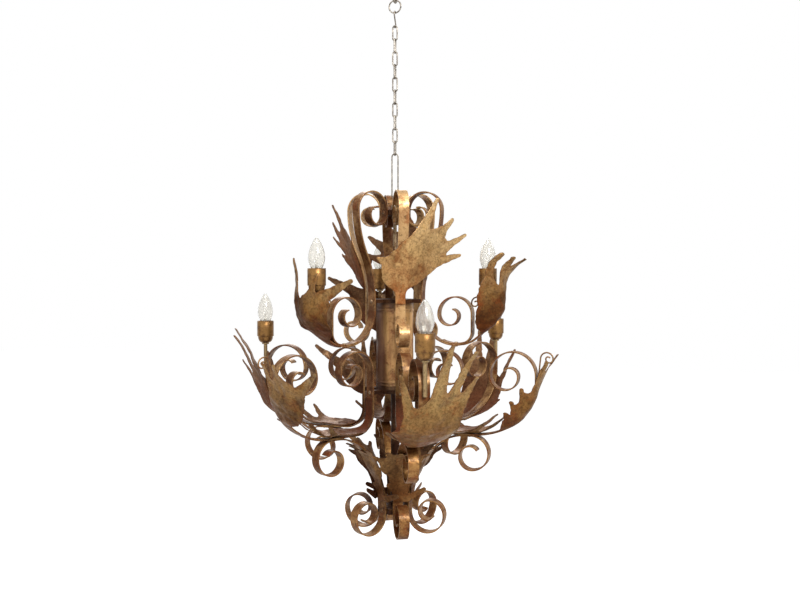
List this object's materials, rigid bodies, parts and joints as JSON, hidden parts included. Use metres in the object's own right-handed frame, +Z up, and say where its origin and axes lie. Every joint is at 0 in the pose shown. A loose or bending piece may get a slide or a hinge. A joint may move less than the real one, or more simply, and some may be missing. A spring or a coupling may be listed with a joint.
{
  "type": "chandelier",
  "caption": "Baroque hanging chandelier: scrolled iron straps with pronged leaves round a column carry candle lamps in two tiers, hung by a chain from a ceiling hook.",
  "frame": {"origin": "on the ceiling, where the hook's shank enters it", "axes": "+Z up along the shank and the hanging chain; +X through an upper candle arm"},
  "size_m": [0.7542, 0.7198, 1.207],
  "materials": {
    "zinc": "dull galvanised wire",
    "strap_iron": "rust-brown patina with worn gilding",
    "leaf_iron": "hammered sheet, gilt over rust",
    "cup_metal": "brushed golden brown",
    "holder_plastic": "matt",
    "bulb_glass": "clear"
  },
  "bodies": {
    "hook": {"ceiling_hook": "zinc"},
    "ring": {"top_ring": "zinc"},
    "s_hook": {"s_hook": "zinc"},
    "link_01": {"chain_link_01": "zinc"},
    "link_02": {"chain_link_02": "zinc"},
    "link_03": {"chain_link_03": "zinc"},
    "link_04": {"chain_link_04": "zinc"},
    "link_05": {"chain_link_05": "zinc"},
    "link_06": {"chain_link_06": "zinc"},
    "link_07": {"chain_link_07": "zinc"},
    "link_08": {"chain_link_08": "zinc"},
    "link_09": {"chain_link_09": "zinc"},
    "link_10": {"chain_link_10": "zinc"},
    "loop": {"hanging_loop": "zinc"},
    "chandelier": {"eye_nut": "zinc", "threaded_rod": "zinc", "crown_collar": "strap_iron", "column_top_plate": "strap_iron", "column_tube": "strap_iron", "column_base_plate": "strap_iron", "terminal_block": "holder_plastic", "spacer_tube": "strap_iron", "base_collar": "strap_iron", "rod_nuts": "zinc", "upper_arm_1": "strap_iron", "upper_arm_2": "strap_iron", "upper_arm_3": "strap_iron", "crown_straps": "strap_iron", "upper_scrolls": "strap_iron", "lower_arm_1": "strap_iron", "lower_arm_2": "strap_iron", "lower_arm_3": "strap_iron", "lower_arm_4": "strap_iron", "lower_arm_5": "strap_iron", "lower_arm_6": "strap_iron", "base_straps": "strap_iron", "strap_screws": "strap_iron", "rivets": "strap_iron", "upper_leaf_1": "leaf_iron", "upper_leaf_2": "leaf_iron", "upper_leaf_3": "leaf_iron", "crown_leaf_1": "leaf_iron", "crown_leaf_2": "leaf_iron", "crown_leaf_3": "leaf_iron", "lower_leaves_candle": "leaf_iron", "lower_leaves_plain": "leaf_iron", "inner_leaves": "leaf_iron", "base_leaves": "leaf_iron", "tendrils": "strap_iron", "candle_stems": "strap_iron", "candle_cups": "cup_metal", "lampholders": "holder_plastic"},
    "bulb_1": {"bulb_1": "bulb_glass"},
    "bulb_2": {"bulb_2": "bulb_glass"},
    "bulb_3": {"bulb_3": "bulb_glass"},
    "bulb_4": {"bulb_4": "bulb_glass"},
    "bulb_5": {"bulb_5": "bulb_glass"},
    "bulb_6": {"bulb_6": "bulb_glass"}
  },
  "joints": [
    {"name": "ring_swing", "type": "hinge", "parent": "hook", "child": "ring", "pos_m": [0, 0, -0.03059], "axis": [0, 1, 0], "range_deg": [-40, 40]},
    {"name": "s_hook_swing", "type": "hinge", "parent": "ring", "child": "s_hook", "pos_m": [0, 0, -0.05329], "axis": [1, 0, 0], "range_deg": [-40, 40]},
    {"name": "link_01_swing", "type": "hinge", "parent": "s_hook", "child": "link_01", "pos_m": [0, 0, -0.08479], "axis": [0, -1, 0], "range_deg": [-40, 40]},
    {"name": "link_02_swing", "type": "hinge", "parent": "link_01", "child": "link_02", "pos_m": [0, 0, -0.11239], "axis": [-1, 0, 0], "range_deg": [-40, 40]},
    {"name": "link_03_swing", "type": "hinge", "parent": "link_02", "child": "link_03", "pos_m": [0, 0, -0.13999], "axis": [0, 1, 0], "range_deg": [-40, 40]},
    {"name": "link_04_swing", "type": "hinge", "parent": "link_03", "child": "link_04", "pos_m": [0, 0, -0.16759], "axis": [1, 0, 0], "range_deg": [-40, 40]},
    {"name": "link_05_swing", "type": "hinge", "parent": "link_04", "child": "link_05", "pos_m": [0, 0, -0.19519], "axis": [0, -1, 0], "range_deg": [-40, 40]},
    {"name": "link_06_swing", "type": "hinge", "parent": "link_05", "child": "link_06", "pos_m": [0, 0, -0.22279], "axis": [-1, 0, 0], "range_deg": [-40, 40]},
    {"name": "link_07_swing", "type": "hinge", "parent": "link_06", "child": "link_07", "pos_m": [0, 0, -0.25039], "axis": [0, 1, 0], "range_deg": [-40, 40]},
    {"name": "link_08_swing", "type": "hinge", "parent": "link_07", "child": "link_08", "pos_m": [0, 0, -0.27799], "axis": [1, 0, 0], "range_deg": [-40, 40]},
    {"name": "link_09_swing", "type": "hinge", "parent": "link_08", "child": "link_09", "pos_m": [0, 0, -0.30559], "axis": [0, -1, 0], "range_deg": [-40, 40]},
    {"name": "link_10_swing", "type": "hinge", "parent": "link_09", "child": "link_10", "pos_m": [0, 0, -0.33319], "axis": [-1, 0, 0], "range_deg": [-40, 40]},
    {"name": "loop_swing", "type": "hinge", "parent": "link_10", "child": "loop", "pos_m": [0, 0, -0.36079], "axis": [0, 1, 0], "range_deg": [-40, 40]},
    {"name": "chandelier_swing", "type": "hinge", "parent": "loop", "child": "chandelier", "pos_m": [0, 0, -0.45449], "axis": [1, 0, 0], "range_deg": [-15, 15]},
    {"name": "bulb_1_out", "type": "slide", "parent": "chandelier", "child": "bulb_1", "axis": [0, 0, 1], "range_m": [0, 0.03]},
    {"name": "bulb_2_out", "type": "slide", "parent": "chandelier", "child": "bulb_2", "axis": [0, 0, 1], "range_m": [0, 0.03]},
    {"name": "bulb_3_out", "type": "slide", "parent": "chandelier", "child": "bulb_3", "axis": [0, 0, 1], "range_m": [0, 0.03]},
    {"name": "bulb_4_out", "type": "slide", "parent": "chandelier", "child": "bulb_4", "axis": [0, 0, 1], "range_m": [0, 0.03]},
    {"name": "bulb_5_out", "type": "slide", "parent": "chandelier", "child": "bulb_5", "axis": [0, 0, 1], "range_m": [0, 0.03]},
    {"name": "bulb_6_out", "type": "slide", "parent": "chandelier", "child": "bulb_6", "axis": [0, 0, 1], "range_m": [0, 0.03]}
  ]
}
